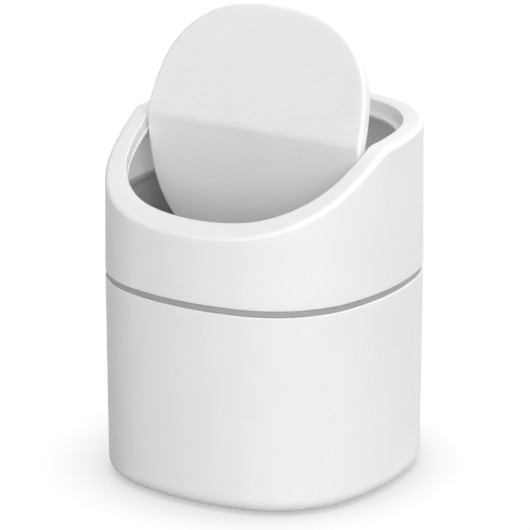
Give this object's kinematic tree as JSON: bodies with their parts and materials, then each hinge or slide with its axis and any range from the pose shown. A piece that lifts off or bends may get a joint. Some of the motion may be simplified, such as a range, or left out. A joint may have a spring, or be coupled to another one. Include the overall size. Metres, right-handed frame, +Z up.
{
  "type": "countertop trash can with swing lid",
  "caption": "Small rounded-square countertop bin: white bucket, grey lift-out liner, lift-off lid ring with a sloping rim, and a bent flap that swings on two pins.",
  "frame": {"origin": "centre of the bin on the surface it stands on", "axes": "+Z up; -Y is the front, where the rim is low and the flap is pushed; the flap's pins lie along X"},
  "size_m": [0.14, 0.14, 0.2208],
  "materials": {
    "white_plastic": "satin moulded polypropylene",
    "grey_plastic": "satin moulded polypropylene",
    "pin_plastic": "smooth acetal",
    "pad_rubber": "matt soft foam rubber"
  },
  "bodies": {
    "base": {"outer_bucket": "white_plastic", "base_pad_front_left": "pad_rubber", "base_pad_front_right": "pad_rubber", "base_pad_rear_left": "pad_rubber", "base_pad_rear_right": "pad_rubber"},
    "liner": {"inner_bucket": "grey_plastic"},
    "collar": {"collar_shell": "white_plastic"},
    "flap": {"flap_cover": "white_plastic", "flap_back": "white_plastic", "pivot_pin_left": "pin_plastic", "pivot_pin_right": "pin_plastic"}
  },
  "joints": [
    {"name": "liner_lift", "type": "slide", "parent": "base", "child": "liner", "axis": [0, 0, 1], "range_m": [0, 0.11]},
    {"name": "collar_lift", "type": "slide", "parent": "liner", "child": "collar", "axis": [0, 0, 1], "range_m": [0, 0.045]},
    {"name": "flap_swing", "type": "hinge", "parent": "collar", "child": "flap", "pos_m": [0, -0.006, 0.15816], "axis": [1, 0, 0], "range_deg": [-65.8, 24.2]}
  ]
}
